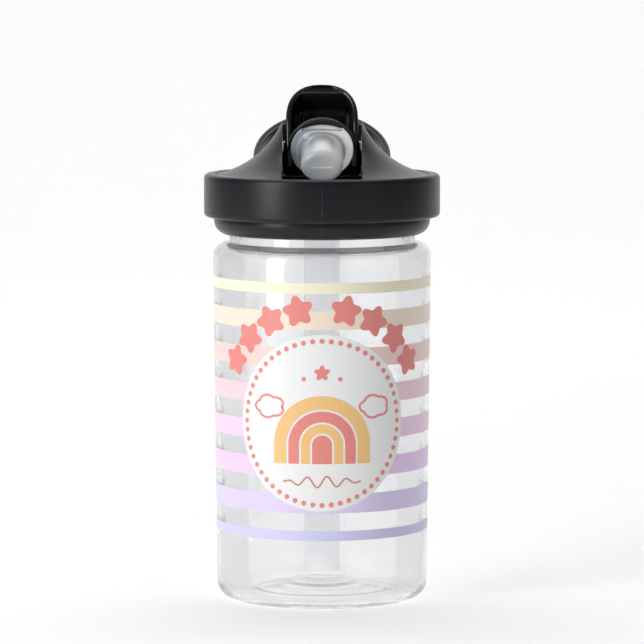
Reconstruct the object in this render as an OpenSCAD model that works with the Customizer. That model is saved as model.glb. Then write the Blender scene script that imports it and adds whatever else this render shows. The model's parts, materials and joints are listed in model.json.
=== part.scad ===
// Kids water bottle: clear body, screw lid with a flip-up straw spout and a carry loop.
// Millimetres, +Z up, origin at the centre of the base on the surface it stands on.
// The spout's mouthpiece points to -Y.

/* [Bottle body] */
// Outer radius of the body at the foot
foot_side_r = 35.5; // [31:0.1:36.5]
// Outer radius of the body under the shoulder
body_r = 36.7; // [35:0.1:42]
// Height of the shoulder above the table
shoulder_h = 120.6; // [95:0.1:160]
// Wall of the body
body_wall = 1.6; // [1.2:0.1:2.2]
// Thickness of the bottom
base_wall = 2.2; // [1.6:0.1:3]
// Rounding where the side meets the bottom
base_round = 5.2; // [4:0.1:7]
// Rounding of the shoulder
shoulder_round = 5.0; // [3:0.1:5]
// Height that the middle of the bottom is pushed up
push_up = 4.5; // [2:0.1:8]

/* [Neck and thread] */
// Outer radius of the neck
neck_r = 31.4; // [28:0.1:31.6]
// Wall of the neck
neck_wall = 2.0; // [1.6:0.1:2.4]
// Height of the neck above the shoulder
neck_h = 17.4; // [16:0.1:22]
// Rise of the screw thread in one turn
pitch = 5.0; // [4.6:0.1:6]
// How far each thread stands out
thread_h = 1.5; // [1:0.1:1.8]
// Width of a thread where it meets its wall
thread_root = 2.2; // [1.6:0.1:2.3]
// Width of a thread at its crest
thread_crest = 1.0; // [0.6:0.1:1.2]
// Turns of each thread
thread_turns = 1.25; // [1:0.05:1.4]

/* [Lid] */
// Gap between the shoulder and the skirt
skirt_gap = 2.4; // [1:0.1:4]
// Height of the skirt below the ring
skirt_h = 6.0; // [5:0.1:8]
// Outer radius of the skirt
skirt_r = 36.4; // [36.2:0.1:40]
// Rounding of the skirt's lower edge
skirt_round = 4.8; // [2:0.1:4.9]
// Height of the ring
ring_h = 14.5; // [13.5:0.1:18]
// Outer radius of the ring
ring_r = 39.75; // [39:0.05:44]
// Rounding of the ring's upper edge
ring_top_round = 3.2; // [1:0.1:3.3]
// Rounding of the ring's lower edge
ring_low_round = 3.0; // [1:0.1:3.3]
// Thickness of the lid's deck and floor
deck_t = 1.8; // [1.4:0.1:2]
// Depth of the well below the deck's top
well_depth = 5.0; // [4:0.1:6]
// Wall of the cover and of the well
shell_t = 2.0; // [1.6:0.1:2.4]
// Thickness of the neck gasket
gasket_t = 1.4; // [1:0.1:2]

/* [Cover and loop] */
// Width of the recess between the cheeks
recess_w = 26.6; // [26:0.1:30]
// Height of the cheeks above the ring
cheek_h = 17.6; // [14:0.1:22]
// Radius of the cheeks' hollow outline
cheek_curve = 31.4; // [28:0.1:45]
// Outer radius of the carry loop
loop_r = 23.2; // [20:0.1:25]
// Wall of the carry loop
loop_wall = 2.2; // [1.8:0.1:3]
// Width of the carry loop's band
loop_band = 8.0; // [6:0.1:10]
// Slope of the carry loop, rising to the rear
loop_tilt = 36; // [25:1:45]

/* [Spout] */
// Height of the spout's pivot above the ring
pivot_h = 5.0; // [4.5:0.1:7]
// Radius of the spout's barrel
barrel_r = 6.2; // [5.6:0.1:6.6]
// Radius of the trunnions that the spout turns on
trunnion_r = 2.5; // [1.8:0.1:3]
// Width of the thumb hood
hood_w = 24.2; // [20:0.1:24.6]
// Height of the thumb hood above the pivot
hood_h = 24.7; // [20:0.1:27]
// Wall of the thumb hood
hood_wall = 1.9; // [1.4:0.1:2.4]
// Angle that the closed mouthpiece points down
valve_tilt = 25; // [20:1:30]
// Radius of the mouthpiece's flange
flange_r = 10.4; // [9:0.1:10.6]
// Length of the mouthpiece in front of its flange
nipple_len = 13.0; // [12:0.1:16]
// Radius of the mouthpiece at its root
nipple_r = 6.85; // [6:0.05:7.2]
// Half the thickness of the mouthpiece's flattened tip
tip_half = 5.0; // [4.4:0.1:6]
// Radius of the liquid passage
passage_r = 2.5; // [2:0.1:3]

/* [Straw and vent] */
// Outer radius of the straw
straw_r = 6.0; // [5:0.1:6.4]
// Wall of the straw
straw_wall = 1.1; // [0.8:0.1:1.4]
// Gap between the straw's tip and the bottom
straw_gap = 2.0; // [1:0.5:12]
// Distance of the air valve behind the middle
vent_y = 17.5; // [16:0.5:19]

/* [Fits] */
// Radial gap between a thread and the wall it faces
thread_gap = 0.4; // [0.3:0.05:0.6]
// Gap between the two threads' working sides
flank_gap = 0.25; // [0.15:0.05:0.4]
// Radial gap of the trunnions in their sockets
pivot_gap = 0.06; // [0.02:0.01:0.1]
// Gap between parts that only lie side by side
loose_gap = 0.3; // [0.2:0.05:0.5]
// Gap between the spout and the cheeks on each side
side_gap = 0.7; // [0.4:0.1:1]

/* [Hidden] */
$fn = 96;
eps = 0.01;

// Heights, worked out upwards from the shoulder
neck_z = shoulder_h + neck_h;
skirt_z = shoulder_h + skirt_gap;
ring_z = skirt_z + skirt_h;
rim_z = ring_z + ring_h;
deck_low_z = neck_z + gasket_t;
deck_z = deck_low_z + deck_t;
floor_z = deck_z - well_depth;
floor_low_z = floor_z - deck_t;
pivot_z = rim_z + pivot_h;

// Radii, worked out outwards from the neck
neck_in_r = neck_r - neck_wall;
bore_r = neck_r + thread_h + thread_gap;
plug_r = neck_in_r - 0.5;
well_r = plug_r - shell_t;
cover_r = ring_r - ring_top_round - 0.7 - loose_gap;
recess_x = recess_w / 2;
foot_r = foot_side_r - base_round - 2.3;

// Thread heights: the lid's thread lies under the neck's thread
thread_low_z = neck_z - thread_root - pitch * thread_turns;
thread_shift = (thread_root + thread_crest) / 2 - (thread_root - thread_crest) * thread_gap
    / thread_h / 2 + flank_gap;

// Places on the closed spout
valve_y = -(barrel_r + 3.3);
valve_up = 4.0;
stem_r = passage_r + 1.4;
stem_len = 6;
flange_t = 1.6;
cup_r = flange_r + 0.9;
cup_len = 5.5;
barrel_x = recess_x - side_gap;
shoulder_x = recess_x - min(loose_gap, side_gap / 2);
seal_r = 3.6;

// Centre of the carry loop behind the middle, and above the ring
loop_y = 10;
loop_up = 2.5;

// Points on a circular arc, from angle a0 to a1
function arc(c, r, a0, a1, n = 10) =
    [for (i = [0:n]) let (a = a0 + (a1 - a0) * i / n) [c[0] + r * cos(a), c[1] + r * sin(a)]];

// Height of the bottom's underside at a radius
function base_z(r) = push_up * (1 + cos(180 * r / foot_r)) / 2;

// Centre of the circle through p and q with radius r, on the left of the way from p to q, or on
// the right of it where r is negative
function arc_centre(p, q, r) = let (m = (p + q) / 2, d = q - p, l = norm(d))
    m + sign(r) * sqrt(r * r - l * l / 4) * [-d[1], d[0]] / l;

// Angle of the point p seen from c
function angle_at(c, p) = atan2(p[1] - c[1], p[0] - c[0]);

// A screw thread on a wall at wall_r; side is 1 outwards and -1 inwards, and both ends run out
module thread(wall_r, side, z0, start) {
    turn_steps = 48;
    steps = round(turn_steps * thread_turns);
    run_out = 4;
    sunk = 0.6;
    slope = (thread_root - thread_crest) / thread_h;
    function height(i) = thread_h * min(1, min(i + 0.5, steps - i + 0.5) / run_out);
    function ring(i) = let (a = start + 360 * i / turn_steps, z = z0 + pitch * i / turn_steps,
            h = height(i), low = wall_r - side * sunk, high = wall_r + side * h,
            wl = (thread_root + slope * sunk) / 2, wh = (thread_root - slope * h) / 2)
        [for (p = [[low, -wl], [high, -wh], [high, wh], [low, wl]])
            [p[0] * cos(a), p[0] * sin(a), z + p[1]]];
    points = [for (i = [0:steps]) each ring(i)];
    sides = [for (i = [0:steps - 1]) for (j = [0:3]) let (a = 4 * i + j, b = 4 * i + (j + 1) % 4)
        each [[a, b, b + 4], [a, b + 4, a + 4]]];
    last = 4 * steps;
    ends = [[0, 3, 2], [0, 2, 1], [last, last + 1, last + 2], [last, last + 2, last + 3]];
    all_faces = concat(sides, ends);
    polyhedron(points, side > 0 ? all_faces : [for (f = all_faces) [f[2], f[1], f[0]]]);
}

// ---------------------------------------------------------------- bottle
module bottle_outside() {
    base = [for (i = [0:12]) [foot_r * i / 12, base_z(foot_r * i / 12)]];
    rotate_extrude() polygon(concat(base,
        arc([foot_side_r - base_round, base_round], base_round, -90, 0),
        arc([body_r - shoulder_round, shoulder_h - shoulder_round], shoulder_round, 0, 90),
        [[neck_r, shoulder_h], [neck_r, neck_z - 0.5], [neck_r - 0.5, neck_z], [0, neck_z]]));
}

module bottle_inside() {
    inner_round = base_round - body_wall;
    base = [for (i = [0:12]) [foot_r * i / 12, base_z(foot_r * i / 12) + base_wall]];
    rotate_extrude() polygon(concat(base,
        arc([foot_side_r - base_round, inner_round + base_wall], inner_round, -90, 0),
        arc([body_r - shoulder_round, shoulder_h - shoulder_round], shoulder_round - body_wall, 0, 90),
        [[neck_in_r, shoulder_h - body_wall], [neck_in_r, neck_z + 1], [0, neck_z + 1]]));
}

module bottle_body() {
    color([0.9, 0.93, 0.95, 0.5]) {
        difference() {
            bottle_outside();
            bottle_inside();
        }
        thread(neck_r, 1, thread_low_z, 0);
    }
}

// ---------------------------------------------------------------- lid
module neck_gasket() {
    in_r = plug_r + 0.05;
    out_r = bore_r - loose_gap;
    edge = 0.3;
    color("gainsboro") rotate_extrude() polygon([
        [in_r, neck_z + edge], [in_r + edge, neck_z], [out_r - edge, neck_z],
        [out_r, neck_z + edge], [out_r, deck_low_z - edge], [out_r - edge, deck_low_z],
        [in_r + edge, deck_low_z], [in_r, deck_low_z - edge]]);
}

module cap_outside() {
    rotate_extrude() polygon(concat([[0, skirt_z]],
        arc([skirt_r - skirt_round, skirt_z + skirt_round], skirt_round, -90, 0),
        [[skirt_r, ring_z]],
        arc([ring_r - ring_low_round, ring_z + ring_low_round], ring_low_round, -90, 0),
        arc([ring_r - ring_top_round, rim_z - ring_top_round], ring_top_round, 0, 90),
        [[0, rim_z]]));
}

// The space under the deck, round the well, that takes the neck
module neck_space() {
    rotate_extrude() polygon([[0, skirt_z - 1], [bore_r, skirt_z - 1], [bore_r, deck_low_z],
        [plug_r, deck_low_z], [plug_r, floor_low_z + 0.8], [plug_r - 0.8, floor_low_z],
        [0, floor_low_z]]);
}

module vent_holes() {
    translate([0, vent_y, floor_low_z - 1]) {
        cylinder(r = 1.25, h = deck_t + 2);
        for (a = [0:90:270]) rotate(a) translate([2.9, 0, 0]) cylinder(r = 0.6, h = deck_t + 2);
    }
}

module screw_cap() {
    spigot_len = 9;
    color([0.1, 0.1, 0.11]) {
        difference() {
            cap_outside();
            neck_space();
            translate([0, 0, floor_z]) cylinder(r = well_r, h = rim_z);
            translate([0, 0, deck_z]) cylinder(r = cover_r + loose_gap, h = rim_z);
            vent_holes();
            translate([0, 0, floor_low_z - 1]) cylinder(r = passage_r, h = deck_t + 2);
        }
        translate([0, 0, floor_low_z - spigot_len]) difference() {
            cylinder(r = stem_r, h = spigot_len + eps);
            translate([0, 0, -1]) cylinder(r = passage_r, h = spigot_len + 2);
        }
        thread(bore_r, -1, thread_low_z - thread_shift - pitch / 9, -40);
    }
}

module spout_seal() {
    color("gainsboro") difference() {
        union() {
            translate([0, 0, floor_z]) cylinder(r = seal_r, h = pivot_z - floor_z);
            translate([0, 0, floor_z]) cylinder(r = seal_r + 1.6, h = 1.2);
        }
        translate([0, 0, floor_z - 1]) cylinder(r = passage_r, h = pivot_z);
        translate([0, 0, pivot_z]) rotate([0, 90, 0])
            cylinder(r = barrel_r + pivot_gap, h = recess_w, center = true);
    }
}

module straw_socket() {
    in_r = stem_r + 0.02;
    out_r = straw_r - straw_wall - 0.02;
    len = 10.5;
    collar_h = 3.5;
    color("gainsboro") translate([0, 0, floor_low_z - len]) difference() {
        union() {
            cylinder(r = out_r, h = len);
            translate([0, 0, len - collar_h]) cylinder(r = straw_r + 0.8, h = collar_h);
        }
        translate([0, 0, -1]) cylinder(r = passage_r, h = len);
        translate([0, 0, len - 9]) cylinder(r = in_r, h = 10);
    }
}

module straw() {
    top_z = floor_low_z - 3.6;
    low_z = push_up + base_wall + straw_gap;
    color([0.92, 0.94, 0.96, 0.7]) difference() {
        translate([0, 0, low_z]) cylinder(r = straw_r, h = top_z - low_z);
        translate([0, 0, low_z - 1]) cylinder(r = straw_r - straw_wall, h = top_z);
        translate([0, 0, low_z]) rotate([30, 0, 0]) translate([0, 0, -10])
            cube([30, 40, 20], center = true);
    }
}

module vent_valve() {
    color("gainsboro") translate([0, vent_y, 0]) {
        translate([0, 0, floor_low_z - 0.8]) cylinder(r = 4.6, h = 0.8);
        translate([0, 0, floor_low_z - eps]) cylinder(r = 1.2, h = deck_t + 2 * eps);
        translate([0, 0, floor_z]) cylinder(r1 = 2.0, r2 = 1.3, h = 1.2);
    }
}

// ---------------------------------------------------------------- cover and loop
cheek_low = [cover_r, rim_z - 0.3];
cheek_top = [recess_x, rim_z + cheek_h];
cheek_c = arc_centre(cheek_low, cheek_top, -cheek_curve);

// Solid of revolution under the cheeks' hollow outline, t inside the outer surface
module cheek_solid(t, z) {
    steps = 18;
    curve = arc(cheek_c, cheek_curve + t, angle_at(cheek_c, cheek_low),
        angle_at(cheek_c, cheek_top), steps);
    rotate_extrude() polygon(concat([[0, z], [cover_r - t, z]],
        [for (p = curve) if (p[0] <= cover_r - t + eps && p[1] > z) p], [[0, curve[steps][1]]]));
}

// The hollow behind the cheeks that gives the loop and the open hood their room
module rear_scoop(t) {
    r = 24;
    y = 31;
    low_z = rim_z + 0.1;
    translate([0, y, low_z + r]) rotate([0, 90, 0])
        cylinder(r = r + t, h = 3 * ring_r, center = true);
    translate([-2 * ring_r, y, low_z - t]) cube([4 * ring_r, ring_r, 3 * r]);
}

module loop_ring(gap) {
    translate([0, loop_y, rim_z + loop_up]) rotate([loop_tilt, 0, 0]) difference() {
        cylinder(r = loop_r + gap, h = loop_band + 2 * gap, center = true);
        cylinder(r = loop_r - loop_wall - gap, h = loop_band + 2 * gap + 1, center = true);
    }
}

module carry_loop() {
    bridge_z = deck_z + 1.4;
    color([0.13, 0.13, 0.14]) difference() {
        loop_ring(0);
        translate([0, 0, bridge_z - 40 + 0.1]) cube([4 * ring_r, 4 * ring_r, 80], center = true);
    }
}

module trunnion_line(r, x0, x1) {
    for (s = [-1, 1]) translate([s * (x0 + x1) / 2, 0, pivot_z]) rotate([0, 90, 0])
        cylinder(r = r, h = x1 - x0, center = true);
}

module top_cover() {
    bridge_t = 1.4;
    wall_x = recess_x + shell_t + 0.2;
    socket_x = recess_x + 4.3;
    color([0.15, 0.15, 0.16]) difference() {
        union() {
            difference() {
                cheek_solid(0, deck_z);
                rear_scoop(0);
                difference() {
                    cheek_solid(shell_t, deck_z - 1);
                    rear_scoop(shell_t);
                    cube([2 * wall_x, 4 * ring_r, 3 * rim_z], center = true);
                }
            }
            intersection() {
                translate([0, 0, floor_z]) cylinder(r = well_r - 0.2, h = well_depth + 1);
                cube([2 * wall_x, 4 * ring_r, 3 * rim_z], center = true);
            }
            trunnion_line(4.3, recess_x + 0.1, socket_x + 1);
        }
        translate([-recess_x, -ring_r, deck_z + bridge_t]) cube([recess_w, 2 * ring_r, 2 * cheek_h]);
        intersection() {
            translate([0, 0, floor_z - 1]) cylinder(r = well_r + 0.3, h = well_depth + 3);
            cube([recess_w, 4 * ring_r, 3 * rim_z], center = true);
        }
        trunnion_line(trunnion_r + pivot_gap, recess_x - 1, socket_x);
        loop_ring(0.1);
    }
}

// ---------------------------------------------------------------- spout
// Moves things into the mouthpiece's frame: its +Z points out of the mouth, its +Y up the flange
module at_valve() {
    translate([0, valve_y, pivot_z + valve_up]) rotate([90 + valve_tilt, 0, 0]) children();
}

// Front outline of the hood: straight sides under a full round top, inset by t
module hood_front(t) {
    hx = hood_w / 2 - t;
    top = hood_h - t;
    hy = hx;
    n = 24;
    power = 2 / 2.5;
    crown = [for (i = [0:n]) let (a = 180 * i / n)
        [hx * sign(cos(a)) * pow(abs(cos(a)), power), top - hy + hy * pow(sin(a), power)]];
    polygon(concat([[-hx, -barrel_r - 2], [hx, -barrel_r - 2]], crown));
}

// Side outline of the hood round the pivot: y to the rear, z up
module hood_side() {
    back_low = [barrel_r, 0];
    back_top = [2.2, hood_h];
    back_curve = 60;
    back_c = arc_centre(back_low, back_top, back_curve);
    front_top = [-1.4, hood_h];
    front_low = [valve_y - 1.2, 5];
    front_curve = 34;
    front_c = arc_centre(front_top, front_low, -front_curve);
    polygon(concat(arc(back_c, back_curve, angle_at(back_c, back_low), angle_at(back_c, back_top)),
        arc(front_c, front_curve, angle_at(front_c, front_top), angle_at(front_c, front_low)),
        [[valve_y - 0.6, -1.5], [-barrel_r + 0.8, -2.6], [0, 0]]));
}

module hood_slab() {
    translate([0, 0, pivot_z]) rotate([90, 0, 90])
        linear_extrude(height = hood_w, center = true) hood_side();
}

module hood_prism(t) {
    translate([0, 0, pivot_z]) rotate([90, 0, 0])
        linear_extrude(height = 4 * hood_h, center = true) hood_front(t);
}

// The open-fronted scoop, with a notch in its back where the seal's rim meets the open barrel
module hood_shell() {
    notch = 2 * (seal_r + 0.4);
    difference() {
        intersection() {
            hood_slab();
            hood_prism(0);
        }
        intersection() {
            translate([0, -hood_wall, 0]) hood_slab();
            hood_prism(hood_wall);
        }
        translate([-notch / 2, 0, pivot_z - notch / 2]) cube([notch, 2 * barrel_r, notch]);
    }
}

module flip_spout() {
    // The passage runs in along the mouthpiece's axis, bends, and leaves at the barrel's rear
    bend = 1.5;
    bend_y = valve_y + bend * cos(valve_tilt);
    bend_z = valve_up + bend * sin(valve_tilt);
    slant = atan2(bend_z, barrel_r - bend_y);
    way_out = norm([barrel_r - bend_y, bend_z]) + 1;
    stub = 6.5;
    color([0.08, 0.08, 0.09]) difference() {
        union() {
            hood_shell();
            translate([0, 0, pivot_z]) rotate([0, 90, 0])
                cylinder(r = barrel_r, h = 2 * barrel_x, center = true);
            trunnion_line(trunnion_r, barrel_x - 1, recess_x + 3.8);
            trunnion_line(barrel_r - 0.8, barrel_x - 1, shoulder_x);
            at_valve() translate([0, 0, -cup_len]) cylinder(r1 = stem_r + 0.5, r2 = cup_r, h = cup_len);
            at_valve() cylinder(r = cup_r, h = 1.0);
            at_valve() translate([0, 0, -stub]) cylinder(r = stem_r, h = stub + stem_len);
        }
        at_valve() difference() {
            cylinder(r = flange_r + 0.15, h = 4);
            translate([0, 0, -1]) cylinder(r = stem_r, h = 6);
        }
        at_valve() translate([0, 0, -bend]) cylinder(r = passage_r, h = bend + stem_len + 1);
        translate([0, bend_y, pivot_z + bend_z]) {
            sphere(r = passage_r + 0.05);
            rotate([-90 - slant, 0, 0]) cylinder(r = passage_r, h = way_out);
        }
    }
}

// A wedge that flattens the mouthpiece towards its tip, t inside its outer faces
module tip_wedge(t) {
    root_z = flange_t + 1.4;
    root = nipple_r + 0.2 - t;
    tip = tip_half - t;
    rotate([90, 0, 90]) linear_extrude(height = 4 * flange_r, center = true)
        polygon([[-2 * flange_r, -1], [2 * flange_r, -1], [2 * flange_r, root_z], [root, root_z],
            [tip, nipple_len + 1], [-tip, nipple_len + 1], [-root, root_z], [-2 * flange_r, root_z]]);
}

module bite_valve() {
    wall = 1.3;
    tip_t = 1.6;
    chord = flange_r - 1.9;
    hollow_r = nipple_r - wall;
    hollow_z = nipple_len - tip_t;
    color([0.85, 0.88, 0.9, 0.8]) at_valve() difference() {
        intersection() {
            rotate_extrude() polygon([[0, 0.05], [flange_r, 0.05], [flange_r, flange_t],
                [nipple_r + 1.6, flange_t], [nipple_r + 0.5, flange_t + 0.5],
                [nipple_r, flange_t + 1.6], [nipple_r, nipple_len - 1.2],
                [nipple_r - 0.4, nipple_len - 0.4], [nipple_r - 1.2, nipple_len], [0, nipple_len]]);
            tip_wedge(0);
        }
        intersection() {
            rotate_extrude() polygon([[0, stem_len + 0.6], [stem_r + 0.02, stem_len + 0.6],
                [hollow_r, stem_len + 2], [hollow_r, hollow_z - 1], [hollow_r - 0.6, hollow_z],
                [0, hollow_z]]);
            tip_wedge(wall);
        }
        cylinder(r = stem_r + 0.02, h = stem_len + 0.7);
        translate([0, 0, nipple_len - 1]) cube([6, 0.3, 4], center = true);
        translate([0, chord + 2, 0]) cube([4 * flange_r, 4, 10], center = true);
    }
}

bottle_body();
neck_gasket();
screw_cap();
top_cover();
carry_loop();
spout_seal();
flip_spout();
bite_valve();
straw_socket();
straw();
vent_valve();
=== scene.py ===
# %% [markdown]
# # A kids water bottle with a flip-up straw spout
# The bottle is a clear moulded body with a pastel print, a satin black screw lid, and a spout
# that folds down between two cheeks. The engineering model is loaded first as a fixed frame:
# every piece made here takes its place from that frame and moves with one of its bodies.

# %% Load the frame
import json
import math

import bpy
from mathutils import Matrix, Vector


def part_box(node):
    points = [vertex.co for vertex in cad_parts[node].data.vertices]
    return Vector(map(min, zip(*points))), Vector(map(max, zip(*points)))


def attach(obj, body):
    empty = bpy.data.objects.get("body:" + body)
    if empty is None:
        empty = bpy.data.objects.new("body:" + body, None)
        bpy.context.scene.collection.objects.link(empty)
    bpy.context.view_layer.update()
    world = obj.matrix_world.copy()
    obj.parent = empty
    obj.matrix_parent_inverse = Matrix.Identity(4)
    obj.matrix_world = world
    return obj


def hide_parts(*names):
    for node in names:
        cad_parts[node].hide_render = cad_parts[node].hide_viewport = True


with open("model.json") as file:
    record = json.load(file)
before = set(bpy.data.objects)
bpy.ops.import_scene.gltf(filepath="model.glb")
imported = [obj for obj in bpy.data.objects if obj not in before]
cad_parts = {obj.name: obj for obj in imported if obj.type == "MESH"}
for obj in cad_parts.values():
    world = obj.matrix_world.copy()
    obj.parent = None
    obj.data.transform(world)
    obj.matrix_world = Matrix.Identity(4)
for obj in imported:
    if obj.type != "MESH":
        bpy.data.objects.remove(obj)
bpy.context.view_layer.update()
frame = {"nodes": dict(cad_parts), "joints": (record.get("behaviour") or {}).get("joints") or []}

# %% [markdown]
# ## Reading the sizes
# The sizes that the lid and the body share are read from the frame's own boxes, so that a
# change there carries through to here. The frame is in metres, and small parts are easier to
# think about in millimetres, so a length is written as a number times MM.

# %% Sizes from the frame
MM = 0.001
body_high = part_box("bottle_body")[1]
cap_low, cap_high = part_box("screw_cap")
cover_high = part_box("top_cover")[1]
loop_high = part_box("carry_loop")[1]
spout_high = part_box("flip_spout")[1]
straw_low, straw_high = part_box("straw")
BODY_R = body_high.x
NECK_TOP = body_high.z
RING_R, SKIRT_Z, RIM_Z = cap_high.x, cap_low.z, cap_high.z
COVER_R, CHEEK_TOP = cover_high.x, cover_high.z
HOOD_TOP = spout_high.z
PIVOT = Vector(next(j["pos_m"] for j in frame["joints"] if j["name"] == "spout_flip"))
print("radius of body %.1f mm, ring %.2f mm, loop %.1f mm, pivot height %.1f mm"
      % (BODY_R / MM, RING_R / MM, loop_high.x / MM, PIVOT.z / MM))

# %% [markdown]
# ## Small tools for modelling
# Blender's operators act on whatever is selected, so each step starts from a clean selection.
# A round part is made as a turner would make it: its outline is drawn point by point with
# extrude, and then spun about the bottle's axis. Corners are rounded while the outline is
# drawn, because a round edge is what catches the light on moulded plastic.

# %% Selection and edit mode
def deselect():
    if bpy.context.object and bpy.context.object.mode != "OBJECT":
        bpy.ops.object.mode_set(mode="OBJECT")
    bpy.ops.object.select_all(action="DESELECT")


def pick(piece):
    deselect()
    piece.select_set(True)
    bpy.context.view_layer.objects.active = piece


def edit(piece):
    pick(piece)
    bpy.ops.object.mode_set(mode="EDIT")
    bpy.ops.mesh.select_all(action="SELECT")


def done(piece, name=None, angle=40):
    """Back to object mode, with the object's own place moved into its mesh and soft shading."""
    pick(piece)
    bpy.ops.object.transform_apply(location=True, rotation=True, scale=True)
    if angle:
        bpy.ops.object.shade_smooth_by_angle(angle=math.radians(angle))
    if name:
        piece.name = name
        piece.data.name = name
    return piece


def outward(piece):
    edit(piece)
    bpy.ops.mesh.remove_doubles(threshold=0.0005 * MM)
    bpy.ops.mesh.normals_make_consistent(inside=False)
    bpy.ops.object.mode_set(mode="OBJECT")
    return piece


def modify(piece, kind, **settings):
    """Adds a modifier, sets it up and applies it."""
    pick(piece)
    modifier = piece.modifiers.new(kind.lower(), kind)
    for key, value in settings.items():
        setattr(modifier, key, value)
    bpy.ops.object.modifier_apply(modifier=modifier.name)
    return piece


# %% Outlines with rounded corners
def arc(centre, radius, start, end, steps=8):
    """Points on an arc, with its angles in degrees."""
    turns = [math.radians(start + (end - start) * i / steps) for i in range(steps + 1)]
    return [(centre[0] + radius * math.cos(a), centre[1] + radius * math.sin(a)) for a in turns]


def rounded(corners, steps=6):
    """A closed outline from (x, y, radius) corners, each turned into a smooth bend."""
    points = []
    for i, (x, y, radius) in enumerate(corners):
        here = Vector((x, y))
        before = Vector(corners[i - 1][:2]) - here
        after = Vector(corners[(i + 1) % len(corners)][:2]) - here
        if radius <= 0:
            points.append((x, y))
            continue
        half = before.angle(after) / 2
        reach = min(radius / math.tan(half), before.length * 0.49, after.length * 0.49)
        start, end = here + before.normalized() * reach, here + after.normalized() * reach
        for k in range(steps + 1):
            t = k / steps
            bend = start * (1 - t) ** 2 + here * 2 * t * (1 - t) + end * t ** 2
            points.append((bend.x, bend.y))
    return points


def trace(points, close=False):
    """Draws a line through 3-D points: one vertex first, then one extrude for each point."""
    deselect()
    bpy.ops.mesh.primitive_plane_add(size=MM, location=points[0])
    piece = bpy.context.object
    bpy.ops.object.mode_set(mode="EDIT")
    bpy.ops.mesh.merge(type="CENTER")
    for last, here in zip(points, points[1:]):
        step = Vector(here) - Vector(last)
        bpy.ops.mesh.extrude_region_move(TRANSFORM_OT_translate={"value": step})
    if close:
        bpy.ops.mesh.select_all(action="SELECT")
        bpy.ops.mesh.edge_face_add()
    return piece


def lathe(name, outline, steps=128, close=True, angle=40):
    """Spins an outline of (radius, height) points in millimetres about the upright axis."""
    points = [(r * MM, 0, z * MM) for r, z in outline]
    if close:
        points.append(points[0])
    piece = trace(points)
    bpy.ops.mesh.select_all(action="SELECT")
    bpy.ops.mesh.spin(steps=steps, angle=math.tau, center=(0, 0, 0), axis=(0, 0, 1))
    bpy.ops.object.mode_set(mode="OBJECT")
    outward(piece)
    done(piece, name, angle)
    print(name, len(piece.data.polygons), "faces")
    return piece


def join(name, pieces, angle=40):
    deselect()
    for piece in pieces:
        piece.select_set(True)
    bpy.context.view_layer.objects.active = pieces[0]
    if len(pieces) > 1:
        bpy.ops.object.join()
    return done(pieces[0], name, angle)


def reshape(piece, rule):
    """Moves every vertex to where the rule puts it, like pushing clay over a form."""
    for vertex in piece.data.vertices:
        vertex.co = rule(vertex.co)
    piece.data.update()
    return piece


# %% [markdown]
# ## Shader maths as plain expressions
# A procedural material is a small calculation that runs at every point of a surface. Writing
# it as Python expressions keeps it readable: a Value wraps one socket, and adding or
# multiplying Values adds the Math nodes.

# %% A socket that can be calculated with
class Value:
    def __init__(self, paint, socket):
        self.paint, self.socket = paint, socket

    def math(self, operation, *others):
        sockets = {i: v for i, v in enumerate((self,) + others)}
        return self.paint.node("ShaderNodeMath", {"operation": operation}, sockets)

    def __add__(self, other):
        return self.math("ADD", other)

    def __mul__(self, other):
        return self.math("MULTIPLY", other)

    def __sub__(self, other):
        return self.math("SUBTRACT", other)

    def __truediv__(self, other):
        return self.math("DIVIDE", other)

    def __pow__(self, other):
        return self.math("POWER", other)

    def __gt__(self, other):
        return self.math("GREATER_THAN", other)

    def __lt__(self, other):
        return self.math("LESS_THAN", other)

    def __rsub__(self, other):
        return self.paint.node("ShaderNodeMath", {"operation": "SUBTRACT"}, {0: other, 1: self})

    __radd__, __rmul__ = __add__, __mul__

    def size(self):
        return self.math("ABSOLUTE")

    def ramp(self, low, high):
        """0 below low, 1 above high, and smooth in between."""
        return self.paint.node("ShaderNodeMapRange", {"interpolation_type": "SMOOTHSTEP"},
                               {"Value": self, "From Min": low, "From Max": high})


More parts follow.
